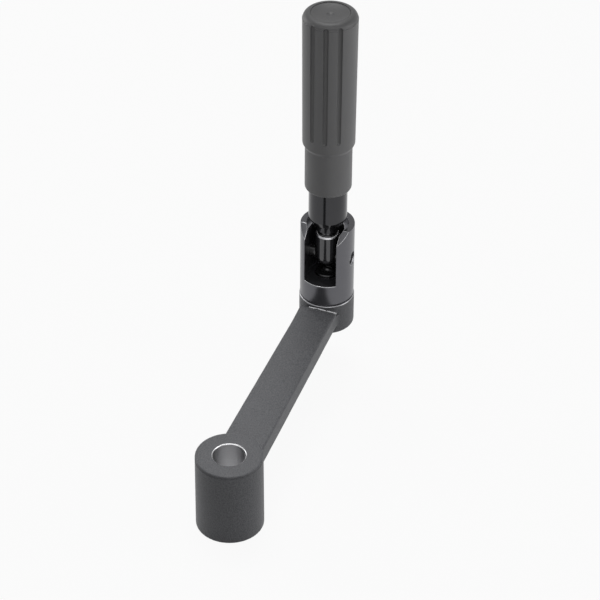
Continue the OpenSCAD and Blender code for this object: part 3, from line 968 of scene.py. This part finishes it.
def grip_blank():
    """The grip before its grooves, with its bore for the sleeve's tube and its seat for the cap."""
    rim = [(CAP_R + (RIM_R - RIM_STEP - CAP_R) * math.cos(math.radians(turn)),
            RIM_Z + RIM_H * math.sin(math.radians(turn))) for turn in RIM_TURNS]
    tube_r = TUBE_R + FIT
    seat_r = CAP_R + FIT
    ledge_z = ring_low.z - LEDGE_GAP
    skirt_z = COLLAR_TOP_Z + LEDGE_GAP
    outline = (arc((PLAIN_R - PLAIN_ROUND, GRIP_Z + PLAIN_ROUND), PLAIN_ROUND, -90, 0)
               + [(PLAIN_R, SHOULDER_Z), (GRIP_R, BODY_Z), (RIM_R, RIM_Z)] + rim
               + [(seat_r, GRIP_TOP_Z), (seat_r, ledge_z), (tube_r, ledge_z), (tube_r, skirt_z),
                  (SKIRT_R, skirt_z), (SKIRT_R, GRIP_Z)])
    blank = lathe(outline, closed=True)
    round_rings(blank, [(PLAIN_R, SHOULDER_Z), (GRIP_R, BODY_Z)], SHOULDER_ROUND)
    round_rings(blank, [(RIM_R, RIM_Z)], RIM_EDGE, 2)
    return round_rings(blank, [(SKIRT_R, GRIP_Z)], SKIRT_ROUND)


def groove(turn):
    """Cutter of one groove with round ends, at an angle round the grip."""
    radius = ((GROOVE_W / 2) ** 2 + GROOVE_DEPTH ** 2) / (2 * GROOVE_DEPTH)
    low = BODY_Z + GROOVE_START + radius
    high = RIM_Z + GROOVE_RISE - radius
    out = (GRIP_R + RIM_R) / 2 - GROOVE_DEPTH + radius
    cutter = lathe(arc((0, low), radius, -90, 0, GROOVE_END_STEPS)
                   + arc((0, high), radius, 0, 90, GROOVE_END_STEPS), steps=GROOVE_STEPS)
    return moved(cutter, out * math.cos(turn), out * math.sin(turn))


def make_grip():
    turns = [math.pi + GROOVE_TURN + group + (i - (GROOVE_COUNT - 1) / 2) * GROOVE_PITCH
             for group in (0, math.pi) for i in range(GROOVE_COUNT)]
    # Painted shade: the grooves' faces take the darker plastic
    grip = carve(grip_blank(), [groove(turn) for turn in turns], SECOND)
    break_edges(grip, GROOVE_EDGE)
    finish_piece("grooved_grip", grip, "handle", "grip", "grip_plastic", GRIP_PLASTIC, GROOVE_SHADED_PLASTIC)


def make_cap():
    low, top = cap_low.z, cap_high.z
    inner_r = CAP_R - CAP_WALL
    dish_r = CAP_R - CAP_RIM
    floor_z = top - DISH_DEPTH
    ceiling_z = floor_z - CAP_WALL
    dish = []
    for i in range(DISH_STEPS + 1):
        radius = between(i, 0, dish_r, DISH_STEPS, DIMPLE_R)
        fall = 1 - ((radius - DIMPLE_R) / (dish_r - DIMPLE_R)) ** 2
        dish.append((radius, top - DISH_DEPTH * fall))
    dimple = []
    for i in range(1, DIMPLE_STEPS + 1):
        radius = DIMPLE_R * (1 - i / DIMPLE_STEPS)
        dimple.append((radius, floor_z - DIMPLE_DEPTH * (1 - (radius / DIMPLE_R) ** 2)))
    cap = lathe([(0, ceiling_z), (inner_r, ceiling_z), (inner_r, low), (CAP_R, low), (CAP_R, top)]
                + dish + dimple)
    round_rings(cap, [(CAP_R, top), (dish_r, top)], CAP_ROUND)
    finish_piece("dished_cap", cap, "handle", "end_cap", "grip_plastic", CAP_SHADED_PLASTIC)


make_casting()
make_housing()
make_screw()
make_pin()
make_rod()
make_sleeve()
make_grip()
make_cap()


# Floor, world and lamps, with places and sizes in metres and powers in watts

WHITE = (1, 1, 1, 1)
FLOOR_SIZE = 6.0
FLOOR_GAP = 0.0001
FLOOR_GREY = (0.5, 0.5, 0.5, 1)
FLOOR_WHITE = 0.93
WORLD_SOFT = 0.12
LAMP_AIM = Vector((0.07, 0, 0.06))
LAMPS = (
    ("back_key", (0.68, 0.32, 1.87), (0.9, 0.9), 21),
    ("front_softbox", (-0.52, -0.21, 0.96), (1.0, 0.5), 2.5),
    ("left_strip", (0.3, 0.95, 0.22), (0.5, 1.0), 4),
    ("right_strip", (0.2, -0.95, 0.22), (0.5, 1.0), 4.4),
)


def make_floor():
    """Pale floor under the hub. It looks almost white, with the crank's soft shadow on it."""
    bm = bmesh.new()
    bmesh.ops.create_grid(bm, x_segments=1, y_segments=1, size=FLOOR_SIZE)
    floor = loose_object("floor", bm)
    floor.location = (0, 0, HUB_BOTTOM_Z * MM - FLOOR_GAP)
    finish = Finish("floor", Roughness=0.9, Base_Color=FLOOR_GREY, Specular_IOR_Level=0.0)
    white = finish.node("ShaderNodeEmission", {}, {"Color": WHITE, "Strength": 1.0})
    finish.show(finish.node("ShaderNodeMixShader", {},
                            {0: finish.seen_white() * FLOOR_WHITE, 1: finish.lit, 2: white}))
    dress(floor, finish.material)


def make_world():
    """White where it is seen, and soft where it lights the object."""
    world = bpy.data.worlds.new("studio")
    sky = Network(world, "ShaderNodeOutputWorld")
    soft = sky.node("ShaderNodeBackground", {}, {"Color": WHITE, "Strength": WORLD_SOFT})
    white = sky.node("ShaderNodeBackground", {}, {"Color": WHITE, "Strength": 1.0})
    sky.show(sky.node("ShaderNodeMixShader", {}, {0: sky.seen_white(), 1: soft, 2: white}))
    bpy.context.scene.world = world


def area_lamp(name, place, size, power):
    """A soft rectangular lamp that looks at the crank."""
    data = bpy.data.lights.new(name, "AREA")
    data.shape = "RECTANGLE"
    data.size, data.size_y = size
    data.energy = power
    lamp = bpy.data.objects.new(name, data)
    bpy.context.scene.collection.objects.link(lamp)
    lamp.location = place
    lamp.rotation_euler = (LAMP_AIM - Vector(place)).to_track_quat("-Z", "Y").to_euler()


make_floor()
make_world()
for lamp in LAMPS:
    area_lamp(*lamp)

bpy.context.scene.view_settings.view_transform = "Standard"
